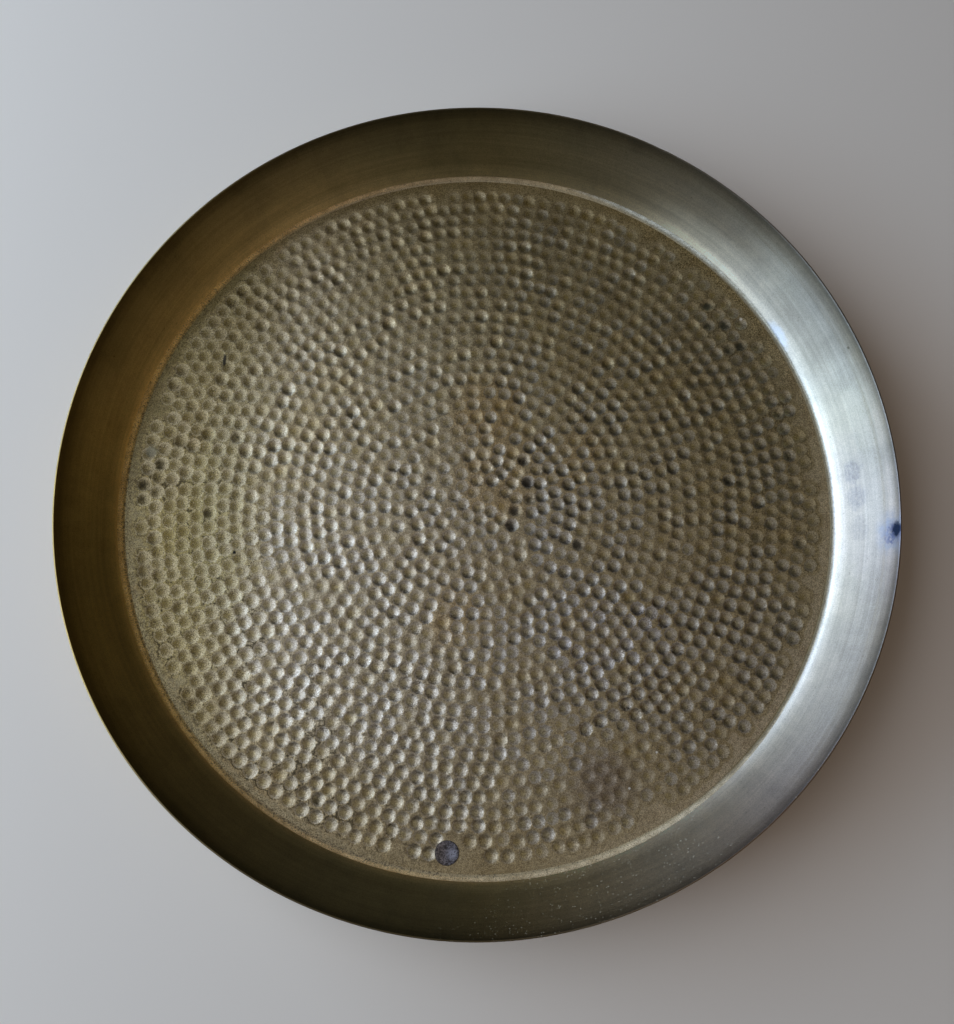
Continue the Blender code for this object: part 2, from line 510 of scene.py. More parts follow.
def hammered_brass():
    """Dull olive brown brass, brighter in the polished hollows, gritty between them and black in places, with
    painted light: reflections in the hollows, highlights and glints, and shade in the hollows' sides and near
    the wall.
    """
    material, shader, place = new_finish("hammered brass")
    hollow, polish, tarnish, corner, shade_side, under = (
        painted_on(place, name) for name in ("hollow", "polish", "tarnish", "corner", "shade_side", "underside"))
    drift = cloud(place, 9.0, 3.0)
    patch = cloud(place, 38.0, 5.0, 0.6)
    blotch = cloud(place, 75.0, 4.0, 0.6, offset=(0.3, 0.1, 0.0))
    fleck = cloud(place, 460.0, 4.0, 0.7)
    grit = cloud(place, 900.0, 3.0, 0.7)
    dust = cloud(place, 1500.0, 3.0, 0.6)
    speckle = cloud(place, 1700.0, 2.0, 0.6, offset=(0.7, 0.2, 0.0))
    across, along = part_of(place, "X"), part_of(place, "Y")
    squared = plus(times(across, across), times(along, along))
    left = span(stirred(across, patch, 0.03), -0.172, -0.112, 1.0, 0.0)
    left_side, lower_left = towards(place, 0.9, 0.3), towards(place, 0.85, 0.5)
    upper_left, upper_right = towards(place, -0.7, 0.7), towards(place, 0.6, 0.8)
    tan, brown, olive = (0.455, 0.37, 0.230), (0.415, 0.325, 0.185), (0.292, 0.240, 0.108)
    ochre, silver, black = (0.45, 0.29, 0.11), (0.50, 0.455, 0.370), (0.066, 0.058, 0.050)
    ink, painted_glint = (0.02, 0.02, 0.02), (0.95, 0.93, 0.88)

    # Patina in patches, olive and darker at the left, with paler and stained places
    colour = paint(span(drift, 0.35, 0.65), tan, brown)
    # The olive at the left is partly patina and partly painted shade
    colour = paint(times(left, 0.85), colour, olive)
    colour = paint(span(patch, 0.52, 0.75, 0.0, 0.35), colour, ochre)
    colour = paint(span(blotch, 0.50, 0.70, 0.0, 0.40), colour, (0.27, 0.20, 0.105))
    sallow = patch_at(place, (-0.172, -0.050, 0.0), (0.032, 0.065, 1.0), patch)
    colour = paint(times(sallow, 0.4), colour, (0.36, 0.300, 0.105))
    for centre, size, amount, tint in (
            ((-0.055, 0.030, 0.0), (0.095, 0.095, 1.0), 0.4, (0.56, 0.455, 0.285)),
            ((-0.095, -0.115, 0.0), (0.075, 0.065, 1.0), 0.5, (0.56, 0.470, 0.310))):
        paler_patch = patch_at(place, centre, size, None, 0.6)
        colour = paint(times(paler_patch, amount), colour, tint)
    for centre, reach, amount in (((0.004, 0.062, 0.0), 0.022, 0.6), ((0.010, 0.016, 0.0), 0.026, 0.45),
                                  ((0.060, 0.032, 0.0), 0.020, 0.35), ((-0.012, -0.072, 0.0), 0.018, 0.4)):
        stained = patch_at(place, centre, (reach, reach, 1.0), patch)
        colour = paint(times(stained, amount), colour, ochre)

    # Hollows polished by use, silver partly for the polish and partly as a painted reflection of the window,
    # with painted highlights round their rims at the left and painted shade in their left sides
    # Silver in the polished hollows, weaker at the far left and far off: partly polish, partly painted
    # reflection
    bright = times(span(hollow, 0.0, 0.12), polish, span(left, 0.0, 1.0, 0.90, 0.35),
                   span(along, 0.02, 0.14, 1.0, 0.45))
    colour = paint(bright, colour, silver)
    bluish = patch_at(place, (0.086, -0.078, 0.0), (0.034, 0.026, 1.0), patch, 0.4)
    colour = paint(times(bright, 0.8, bluish), colour, (0.50, 0.48, 0.50))
    greyed = times(span(polish, 0.60, 0.85), span(hollow, 0.05, 0.35), span(across, -0.03, 0.05, 0.0, 0.40))
    colour = paint(greyed, colour, (0.39, 0.385, 0.395))
    # Painted highlight: paler rims just inside the hollows at the left
    rim_highlight = times(left, 0.35, between(hollow, 0.02, 0.16, 0.20, 0.45))
    colour = paint(rim_highlight, colour, (0.55, 0.49, 0.34))
    # Painted shade in the left side of every hollow, stronger at the left, then warmed
    dull = times(span(shade_side, 0.20, 0.90), span(left, 0.0, 1.0, 0.10, 0.75))
    colour = glaze(dull, colour, (0.48, 0.45, 0.40))
    colour = glaze(span(shade_side, 0.40, 0.95, 0.0, 0.9), colour, (1.0, 0.96, 0.68))
    purple = patch_at(place, (0.083, -0.167, 0.0), (0.020, 0.018, 1.0), patch, 0.6)
    colour = paint(times(purple, 0.5), colour, (0.17, 0.13, 0.14))

    # Grime, grit and dust, and black lines between the hollows
    grime = span(minus(fleck, times(hollow, 0.08)), 0.50, 0.68, 0.0, 0.35)
    colour = paint(grime, colour, (0.15, 0.11, 0.06))
    colour = paint(span(grit, 0.42, 0.64, 0.0, 0.50), colour, (0.20, 0.15, 0.085))
    colour = paint(span(dust, 0.54, 0.68, 0.0, 0.40), colour, (0.64, 0.57, 0.45))
    colour = glaze(span(speckle, 0.50, 0.66, 0.0, 0.85), colour, (0.52, 0.50, 0.47))
    colour = glaze(span(speckle, 0.34, 0.50, 0.85, 0.0), colour, (1.46, 1.46, 1.46))
    pepper = times(left, 0.85, span(plus(speckle, times(hollow, 0.05)), 0.59, 0.65))
    colour = paint(pepper, colour, (0.09, 0.075, 0.05))
    crack = times(span(corner, 0.10, 0.26), span(fleck, 0.47, 0.57), span(corner, 0.40, 0.60, 1.0, 0.5),
                  span(lower_left, -0.18, -0.08, 0.65, 0.12))
    colour = paint(crack, colour, (0.09, 0.07, 0.045))
    edged = plus(span(lower_left, -0.17, -0.08, 0.85, 0.0), span(across, 0.10, 0.17, 0.0, 0.5))
    outline = times(between(corner, 0.05, 0.12, 0.16, 0.26), span(plus(patch, fleck), 0.96, 1.10), edged)
    colour = paint(outline, colour, (0.055, 0.045, 0.028))

    # Tarnished hollows, brown black at the left and grey black at the right
    soot = paint(span(across, -0.10, -0.06), (0.040, 0.033, 0.022), black)
    soot = paint(span(across, 0.09, 0.13), soot, (0.082, 0.085, 0.075))
    colour = paint(span(stirred(tarnish, fleck, 0.9), 0.20, 0.75, 0.0, 0.88), colour, soot)
    # Painted shade on the plate near the wall at the far left
    far_left = times(span(squared, 0.027, 0.036), span(left_side, -0.12, -0.04, 1.0, 0.0))
    colour = glaze(far_left, colour, (0.92, 0.90, 0.84))

    # The unstruck margin: gritty at the right, wiped at the lower left, with painted light paling it at the
    # right and painted shade dimming it above
    margin = span(corner, 0.55, 0.95)
    # Painted light: the margin paler at the right
    pale = times(margin, span(across, 0.02, 0.18, 0.0, 0.72), span(along, 0.03, 0.14, 1.0, 0.1))
    colour = paint(pale, colour, (0.56, 0.48, 0.36))
    gritty = times(margin, span(across, 0.04, 0.16))
    coarse = times(gritty, span(speckle, 0.50, 0.62, 0.0, 0.75))
    colour = glaze(coarse, colour, (0.50, 0.44, 0.35))
    bared = times(gritty, span(speckle, 0.36, 0.50, 0.75, 0.0))
    colour = glaze(bared, colour, (1.42, 1.38, 1.30))
    scuffed = times(gritty, span(blotch, 0.46, 0.62, 0.0, 0.4))
    colour = glaze(scuffed, colour, (0.72, 0.66, 0.58))
    tinted_patch = times(margin, span(lower_left, -0.19, -0.12, 0.25, 0.0), span(grit, 0.46, 0.60, 1.0, 0.2))
    colour = paint(tinted_patch, colour, (0.41, 0.375, 0.265))
    # Painted shade on the margin at the upper left and along the far side
    dim = times(margin, span(upper_left, 0.10, 0.20, 0.0, 0.6))
    colour = glaze(dim, colour, (0.62, 0.60, 0.50))
    shaded = times(margin, span(along, 0.09, 0.17, 0.0, 0.8), span(across, 0.02, 0.09))
    colour = glaze(shaded, colour, (0.80, 0.78, 0.72))
    rusted = times(span(squared, 0.0474, 0.0492), span(left_side, -0.17, -0.11, 0.85, 0.0),
                   span(speckle, 0.52, 0.59))
    colour = paint(rusted, colour, (0.08, 0.06, 0.03))

    # Cooler at the lower left, warmer at the upper right, then single stains, dark specks, painted glints and
    # a pale speck
    cooler = patch_at(place, (-0.045, -0.085, 0.0), (0.105, 0.105, 1.0), None, 0.5)
    colour = glaze(cooler, colour, (1.02, 1.035, 1.12))
    colour = glaze(span(upper_right, 0.02, 0.14), colour, (1.0, 0.985, 0.88))
    # The near-white dots are painted glints
    for centre, size, amount, tint in (
            ((-0.2103, 0.0266, 0.0), (0.0042, 0.0036, 1.0), 0.65, (0.105, 0.105, 0.080)),
            ((-0.1691, 0.0895, 0.0), (0.0010, 0.0040, 1.0), 0.90, ink),
            ((-0.1515, -0.0360, 0.0), (0.0010, 0.0010, 1.0), 1.00, ink),
            ((0.1157, -0.1466, 0.0), (0.0007, 0.0007, 1.0), 1.00, painted_glint),
            ((0.0994, -0.1685, 0.0), (0.0007, 0.0007, 1.0), 1.00, painted_glint),
            ((0.1535, -0.0752, 0.0), (0.0010, 0.0007, 1.0), 1.00, painted_glint),
            ((0.1678, 0.1339, 0.0), (0.0009, 0.0009, 1.0), 0.90, (0.90, 0.88, 0.82))):
        spot = patch_at(place, centre, size, fleck, 0.4)
        colour = paint(times(spot, amount), colour, tint)
    colour = paint(times(under, 0.45), colour, (0.30, 0.22, 0.12))
    feed(shader.inputs["Base Color"], colour)
    shader.inputs["Metallic"].default_value = 1.0
    shader.inputs["Specular Tint"].default_value = (0.30, 0.26, 0.20, 1.0)
    feed(shader.inputs["Roughness"], stirred(minus(0.42, times(bright, 0.12)), patch, 0.25))
    grain(shader, plus(fleck, grit), 0.0003, 0.40)
    return material


plate_mesh.materials.append(hammered_brass())
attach(plate, "root")
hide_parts("hammered_floor")

# Flared wall. A ring of brass sheet spun to a flaring section, brushed round and round, that stands
# about the plate. It eases out of the floor at its foot and turns upright in a lip at the rim,
# where the sheet is simply cut off and its edge smoothed.
wall_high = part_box("flared_wall")[1]
RIM_RADIUS = wall_high[0]
RIM_HEIGHT = wall_high[2]
SHEET = 0.0012
CORNER_RADIUS = 0.2245
FOOT_TOP = 0.008
LIP_DEPTH = 0.014
FOOT_SLOPE = math.radians(50.0)
LIP_SLOPE = math.radians(75.0)
RIM_ROUND = 0.00035
RIM_ANGLE = math.radians(40.0)
WALL_STEPS = 320
LEVEL_STEP = 0.0016
RIDGES = ((0.0232, 0.00002), (0.0366, 0.00005))
RIDGE_HALF = 0.0009
RIDGE_LEVELS = (-1.6, -0.8, 0.0, 0.8, 1.6)
foot_flare, lip_flare = 1.0 / math.tan(FOOT_SLOPE), 1.0 / math.tan(LIP_SLOPE)
lip_start = RIM_HEIGHT - LIP_DEPTH
foot_rise = FOOT_TOP - PLATE_TOP
rim_growth = RIM_RADIUS - SHEET * math.sin(LIP_SLOPE) - CORNER_RADIUS
middle_flare = (rim_growth - (foot_flare * foot_rise + lip_flare * LIP_DEPTH) / 2) / (
    foot_rise / 2 + lip_start - FOOT_TOP + LIP_DEPTH / 2)


def wall_flare(height):
    """Growth of the wall's radius for each unit of height."""
    if height < FOOT_TOP:
        ease = min(1.0, (FOOT_TOP - height) / foot_rise)
        return middle_flare + (foot_flare - middle_flare) * ease
    return middle_flare + (lip_flare - middle_flare) * max(0.0, height - lip_start) / LIP_DEPTH


def wall_radius(height):
    """Radius of the wall's inner face at a height, added up over the stretches of its flare."""
    if height < PLATE_TOP:
        return CORNER_RADIUS - foot_flare * (PLATE_TOP - height)
    radius = CORNER_RADIUS
    levels = (PLATE_TOP, FOOT_TOP, lip_start, RIM_HEIGHT)
    for low, high in zip(levels, levels[1:]):
        top = min(height, high)
        if top > low:
            radius += (wall_flare(low) + wall_flare(top)) / 2 * (top - low)
    return radius


def turned_piece(name, profile, steps):
    """Draw a closed profile of (radius, height) points edge by edge, and spin it about the tray's axis."""
    bpy.ops.object.select_all(action="DESELECT")
    bpy.ops.mesh.primitive_plane_add(size=0.001, location=(0.0, 0.0, 0.0))
    piece = bpy.context.object
    piece.name = piece.data.name = name
    bpy.ops.object.mode_set(mode="EDIT")
    bpy.ops.mesh.select_all(action="SELECT")
    bpy.ops.mesh.merge(type="CENTER")
    bpy.ops.transform.translate(value=(profile[0][0], 0.0, profile[0][1]))
    for (radius, height), (next_radius, next_height) in zip(profile, profile[1:]):
        bpy.ops.mesh.extrude_region_move(
            TRANSFORM_OT_translate={"value": (next_radius - radius, 0.0, next_height - height)})
    bpy.ops.mesh.select_all(action="SELECT")
    bpy.ops.mesh.spin(steps=steps, angle=2 * math.pi, center=(0.0, 0.0, 0.0), axis=(0.0, 0.0, 1.0))
    bpy.ops.mesh.select_all(action="SELECT")
    bpy.ops.mesh.remove_doubles(threshold=0.00001)
    bpy.ops.mesh.normals_make_consistent(inside=False)
    bpy.ops.object.mode_set(mode="OBJECT")
    return piece


heights = [PLATE_TOP + LEVEL_STEP * i for i in range(int((RIM_HEIGHT - PLATE_TOP) / LEVEL_STEP))]
heights += [height + side * RIDGE_HALF for height, rise in RIDGES for side in RIDGE_LEVELS]
heights = sorted(heights) + [RIM_HEIGHT]
inner_side = [(wall_radius(0.0), 0.0)]
outer_side = [(wall_radius(0.0) + SHEET / math.sin(FOOT_SLOPE), 0.0)]
for height in heights:
    slope = math.atan2(1.0, wall_flare(height))
    ridge = sum(rise * math.exp(-((height - middle) / RIDGE_HALF) ** 2) for middle, rise in RIDGES)
    inner_side.append((wall_radius(height) - ridge * math.sin(slope), height + ridge * math.cos(slope)))
    outer_side.append((wall_radius(height) + SHEET * math.sin(slope), height - SHEET * math.cos(slope)))
wall = turned_piece("spun_wall", outer_side[::-1] + inner_side + outer_side[-1:], WALL_STEPS)
rounded = wall.modifiers.new("rounded rim", "BEVEL")
rounded.width = RIM_ROUND
rounded.segments = 3
rounded.limit_method = "ANGLE"
rounded.angle_limit = RIM_ANGLE
bpy.context.view_layer.objects.active = wall
bpy.ops.object.modifier_apply(modifier=rounded.name)

# The ring is a little oval, its rim wavers, and one small nick marks the rim
OVAL = 0.0004
OVAL_TURN = math.radians(30.0)
WAVER = 0.0005
WAVER_LUMPS = 1.7
NICK_TURN = math.radians(65.6)
NICK_HALF = math.radians(0.5)
NICK_DEPTH = 0.0006
NICK_SHARE = 0.04          # top part of the wall that the nick reaches
OUTER_SHARE = 0.3          # share of the sheet past which a point counts as outside
outside_share = []
for vertex in wall.data.vertices:
    turn = math.atan2(vertex.co.y, vertex.co.x)
    radius = math.hypot(vertex.co.x, vertex.co.y)
    share = (vertex.co.z / RIM_HEIGHT) ** 2
    outside_share.append(1.0 if radius > wall_radius(vertex.co.z) + OUTER_SHARE * SHEET else 0.0)
    waver = drift_at(math.cos(turn), math.sin(turn), WAVER_LUMPS, 5.1)
    nick = math.exp(-(((turn - NICK_TURN) / NICK_HALF) ** 2))
    nick *= max(0.0, vertex.co.z / RIM_HEIGHT - (1.0 - NICK_SHARE)) / NICK_SHARE
    growth = share * (OVAL * math.cos(2 * (turn - OVAL_TURN)) + WAVER * waver)
    vertex.co.x *= 1.0 + growth / radius
    vertex.co.y *= 1.0 + growth / radius
    vertex.co.z -= NICK_DEPTH * nick
mark_points(wall.data, "outside", outside_share)
smooth(wall, 40.0)


def brushed_brass():
    """Brass brushed round and round: golden brown at the left and pale at the right as a painted reflection
    of the window, rougher and painted darker at the upper right, painted shade towards the rim, with thumb
    marks and a burn inside and a browner outside."""
    material, shader, place = new_finish("brushed brass")
    outside = painted_on(place, "outside")
    inner_face = minus(1.0, outside)
    drift = cloud(place, 7.0, 3.0)
    smear = cloud(place, 30.0, 5.0, 0.6)
    brush = cloud(place, 1.0, 6.0, 0.6, stretch=(9.0, 9.0, 900.0))
    fine_brush = cloud(place, 1.0, 4.0, 0.6, stretch=(30.0, 30.0, 4200.0))
    rubbed = cloud(place, 1.0, 4.0, 0.6, stretch=(42.0, 42.0, 9.0))
    lines = cloud(place, 1.0, 3.0, 0.6, stretch=(13.0, 13.0, 460.0))
    speckle = cloud(place, 1500.0, 2.0, 0.6)
    fleck = cloud(place, 500.0, 4.0, 0.65)
    mottle = cloud(place, 190.0, 5.0, 0.65)
    across, along, height = (part_of(place, axis) for axis in "XYZ")
    bearing = sums("ARCTAN2", along, across)

    # Gold at the left to pale at the right, the pale side a painted reflection of the window, with smears,
    # rubbing, brush lines and flecks
    colour = paint(span(across, -0.25, -0.06), (0.66, 0.445, 0.120), (0.68, 0.575, 0.300))
    colour = paint(span(across, -0.02, 0.22), colour, (0.78, 0.725, 0.635))
    colour = paint(span(drift, 0.35, 0.65, 0.0, 0.12), colour, (0.40, 0.29, 0.14))
    for pattern, low, high, most, tint in (
            (smear, 0.46, 0.70, 0.45, (0.72, 0.72, 0.70)), (rubbed, 0.46, 0.66, 0.40, (0.76, 0.77, 0.80)),
            (brush, 0.40, 0.66, 0.40, (1.18, 1.18, 1.18)), (fine_brush, 0.42, 0.62, 0.24, (0.80, 0.80, 0.80)),
            (lines, 0.38, 0.62, 0.6, (0.84, 0.84, 0.84)), (speckle, 0.40, 0.62, 0.8, (0.78, 0.78, 0.78)),
            (fleck, 0.62, 0.74, 0.5, (0.35, 0.32, 0.28))):
        colour = glaze(span(pattern, low, high, 0.0, most), colour, tint)

    # Lighter and darker sides and bands, following the photograph's fall of light
    colour = glaze(span(towards(place, -0.375, -0.927), 0.18, 0.24, 0.0, 0.50), colour, (0.35, 0.37, 0.37))
    colour = glaze(span(height, 0.007, 0.0135, 0.80, 0.0), colour, (1.45, 1.46, 1.50))
    foot = times(span(height, 0.003, 0.008, 0.9, 0.0), span(along, 0.0, 0.12, 1.0, 0.2),
                 span(across, 0.06, 0.20, 1.0, 0.1))
    colour = glaze(foot, colour, (1.50, 1.40, 1.40))
    lit = times(span(towards(place, 0.5, 0.866), 0.218, 0.236), span(height, 0.007, 0.011, 1.0, 0.0))
    colour = glaze(lit, colour, (1.20, 1.20, 1.17))
    for east, north, tint in ((0.866, 0.5, (0.88, 0.87, 0.85)), (0.866, -0.5, (0.80, 0.76, 0.80)),
                              (0.5, -0.866, (1.26, 1.20, 1.26)), (-0.985, -0.174, (1.10, 1.07, 1.02))):
        colour = glaze(span(towards(place, east, north), 0.205, 0.240), colour, tint)
    # Painted shade in an arc at the upper right
    shade_arc = times(between(bearing, 0.30, 0.50, 0.58, 0.74), span(height, 0.010, 0.024, 0.30, 1.0),
                  span(height, 0.036, 0.046, 1.0, 0.4))
    colour = glaze(shade_arc, colour, (0.62, 0.61, 0.61))
    # Painted highlight low on the foot beyond that arc
    foot_highlight = times(between(bearing, 0.60, 0.76, 0.90, 1.15), span(height, 0.006, 0.0095, 1.0, 0.0))
    colour = glaze(foot_highlight, colour, (1.25, 1.24, 1.21))
    belt = times(between(height, 0.014, 0.022, 0.028, 0.036), span(across, 0.15, 0.22),
                 span(bearing, 0.10, 0.35, 1.0, 0.3))
    colour = glaze(belt, colour, (0.90, 0.90, 0.90))
    # Painted highlight near the rim at the right
    lip = times(between(bearing, -0.35, 0.0, 0.22, 0.42), span(height, 0.036, 0.042),
                span(height, 0.0425, 0.0465, 1.0, 0.35))
    colour = glaze(lip, colour, (1.74, 1.78, 1.95))
    dusk = times(span(towards(place, -0.7, 0.7), 0.15, 0.22), span(height, 0.015, 0.028, 0.0, 0.7))
    colour = glaze(dusk, colour, (0.62, 0.64, 0.66))
    # Painted shade, darker towards the rim and darkest at the rim on the right
    uneven_height = stirred(height, smear, 0.006)
    colour = glaze(span(uneven_height, 0.022, 0.040, 0.0, 0.36), colour, (0.35, 0.36, 0.38))
    rim_dark = times(span(uneven_height, 0.036, 0.047), span(across, -0.22, -0.10, 0.45, 0.72))
    colour = glaze(rim_dark, colour, (0.25, 0.26, 0.29))
    colour = glaze(span(mottle, 0.35, 0.65, 0.0, 0.30), colour, (0.80, 0.81, 0.82))

    # Dried splashes on the near side
    motes = new_node(place, "TexVoronoi")
    feed(motes.inputs["Vector"], place)
    motes.inputs["Scale"].default_value = 430.0
    specks = times(span(motes.outputs["Distance"], 0.11, 0.23, 1.0, 0.0), span(mottle, 0.42, 0.60, 0.1, 1.0),
                   span(towards(place, 0.5, -0.866), 0.185, 0.238, 0.0, 0.65))
    colour = paint(specks, colour, (0.50, 0.42, 0.31))

    # Thumb marks, a burn with its bloom and halo on the inner face, a cool patch, a painted highlight at the
    # foot and a speck
    for centre, amount in (((0.2325, 0.0302, 0.0177), 0.80), ((0.2346, 0.0142, 0.0186), 0.75),
                           ((0.2355, -0.0060, 0.0190), 0.45)):
        thumbed = patch_at(place, centre, (0.0050, 0.0072, 0.0085), mottle, 0.32)
        thumbed = times(thumbed, span(fleck, 0.36, 0.60, 0.45, 1.0), amount)
        colour = glaze(thumbed, colour, (0.63, 0.65, 0.74))
    halo = patch_at(place, (0.2460, -0.0110, 0.0405), (0.007, 0.011, 0.009), None, 0.7)
    halo = times(halo, span(mottle, 0.38, 0.62, 0.35, 0.9), inner_face)
    colour = paint(halo, colour, (0.31, 0.36, 0.48))
    bloom = patch_at(place, (0.2462, -0.0118, 0.0415), (0.0042, 0.0062, 0.0055), mottle, 0.5)
    bloom = times(bloom, span(fleck, 0.40, 0.60, 0.3, 1.0), inner_face)
    colour = paint(bloom, colour, (0.14, 0.17, 0.30))
    burn = patch_at(place, (0.2473, -0.0095, 0.0442), (0.0036, 0.0045, 0.0038), fleck, 0.4)
    colour = paint(times(burn, inner_face), colour, (0.02, 0.033, 0.075))
    cool = patch_at(place, (0.2380, 0.0000, 0.0220), (0.05, 0.045, 0.05), smear, 0.6)
    colour = glaze(cool, colour, (1.02, 0.99, 1.07))
    # Painted highlight: a pale bluish patch at the foot
    tinted_patch = patch_at(place, (0.1915, 0.1230, 0.0040), (0.007, 0.012, 0.004), mottle, 0.5)
    colour = paint(times(tinted_patch, 0.6), colour, (0.80, 0.86, 0.98))
    speck = patch_at(place, (0.2234, 0.1031, 0.0391), (0.0009, 0.0009, 0.0009), fleck, 0.4)
    colour = paint(times(speck, 0.7), colour, (0.10, 0.09, 0.07))

    # Painted shade low at the foot on the right, feathered at its edge, and the browner outside
    feathered = span(stirred(height, fleck, 0.0016), 0.0027, 0.0050, 0.94, 0.0)
    feathered = times(feathered, span(across, 0.06, 0.15), span(along, -0.16, -0.04))
    colour = glaze(feathered, colour, (0.20, 0.18, 0.15))
    colour = paint(times(outside, 0.35), colour, (0.42, 0.31, 0.17))
    feed(shader.inputs["Base Color"], colour)
    feed(shader.inputs["Metallic"], minus(1.0, specks))
    shader.inputs["Specular Tint"].default_value = (0.60, 0.56, 0.50, 1.0)
    shader.inputs["Anisotropic"].default_value = 0.70
    shader.inputs["Anisotropic Rotation"].default_value = 0.25
    around = new_node(place, "Tangent")
    around.direction_type = "RADIAL"
    around.axis = "Z"
    feed(shader.inputs["Tangent"], around.outputs["Tangent"])
    duller = times(between(bearing, 0.30, 0.62, 0.86, 1.22), span(height, 0.014, 0.026, 0.20, 0.0))
    feed(shader.inputs["Roughness"], plus(plus(0.32, times(smear, 0.12)), duller))
    grain(shader, plus(brush, fine_brush), 0.00002, 0.4)
    return material


wall.data.materials.append(brushed_brass())
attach(wall, "root")
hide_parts("flared_wall")

# Braze bead. A thin fillet of brass braze run into the corner of plate and wall all round, then
# dressed with a scraper. It runs out over the plate and climbs the wall further in some places than
# in others, and its face is dull and pitted.
BEAD_RADIUS = 0.0050
BEAD_TOE = 0.0001
BEAD_STEPS = 900
BEAD_LEVELS = 7
BEAD_SINK = 0.00012        # the bead starts just below the plate's top
WALL_CLEAR = 0.00002
USUAL_CLIMB = 1.1
# Stretches where it climbs less or more: bearing and width in degrees, and the gain
CLIMBS = ((-5.0, 35.0, -0.28), (58.0, 22.0, 0.45), (180.0, 50.0, 0.60), (-68.0, 25.0, 0.35))
LUMP_RISE = 0.00010
LUMP_REACH = 0.00008
bead_base = PLATE_TOP - BEAD_SINK
bead_corner = wall_radius(bead_base) - WALL_CLEAR
bead_reach = BEAD_RADIUS / math.cos(FOOT_SLOPE / 2)
bead_centre = (bead_corner - bead_reach * math.sin(FOOT_SLOPE / 2),
               bead_base + bead_reach * math.cos(FOOT_SLOPE / 2))


def on_bead(radius, angle):
    return bead_centre[0] + radius * math.sin(angle), bead_centre[1] - radius * math.cos(angle)


bead_angles = [FOOT_SLOPE * i / BEAD_LEVELS for i in range(BEAD_LEVELS + 1)]
bead_profile = [on_bead(BEAD_RADIUS, FOOT_SLOPE), (bead_corner, bead_base), on_bead(BEAD_RADIUS, 0.0)]
bead_profile += [on_bead(BEAD_RADIUS - BEAD_TOE, angle) for angle in bead_angles]
bead = turned_piece("braze_fillet", bead_profile + bead_profile[:1], BEAD_STEPS)
for vertex in bead.data.vertices:
    turn = math.atan2(vertex.co.y, vertex.co.x)
    radius = math.hypot(vertex.co.x, vertex.co.y)
    run = 0.52 + 0.25 * max(0.0, -math.sin(turn)) - 0.22 * max(0.0, math.cos(turn))
    run += 0.06 * noise.noise(Vector((vertex.co.x, vertex.co.y, 0.0)) * 60.0)
    run -= 0.10 * math.exp(-((math.degrees(turn) - 40.0) / 35.0) ** 2)
    climb = USUAL_CLIMB
    for middle, width, gain in CLIMBS:
        away = (math.degrees(turn) - middle + 180.0) % 360.0 - 180.0
        climb += gain * math.exp(-(away / width) ** 2)
    new_radius = bead_corner + (radius - bead_corner) * (run if radius < bead_corner else climb)
    vertex.co.x *= new_radius / radius
    vertex.co.y *= new_radius / radius
    vertex.co.z = bead_base + (vertex.co.z - bead_base) * climb
    if new_radius < bead_corner - 0.0001 and vertex.co.z > bead_base + 0.00005:
        lump = noise.noise(Vector(vertex.co) * 260.0) + 0.5 * noise.noise(Vector(vertex.co) * 700.0)
        vertex.co.z += LUMP_RISE * lump
        vertex.co.x -= LUMP_REACH * lump * vertex.co.x / new_radius
        vertex.co.y -= LUMP_REACH * lump * vertex.co.y / new_radius
smooth(bead, 40.0)


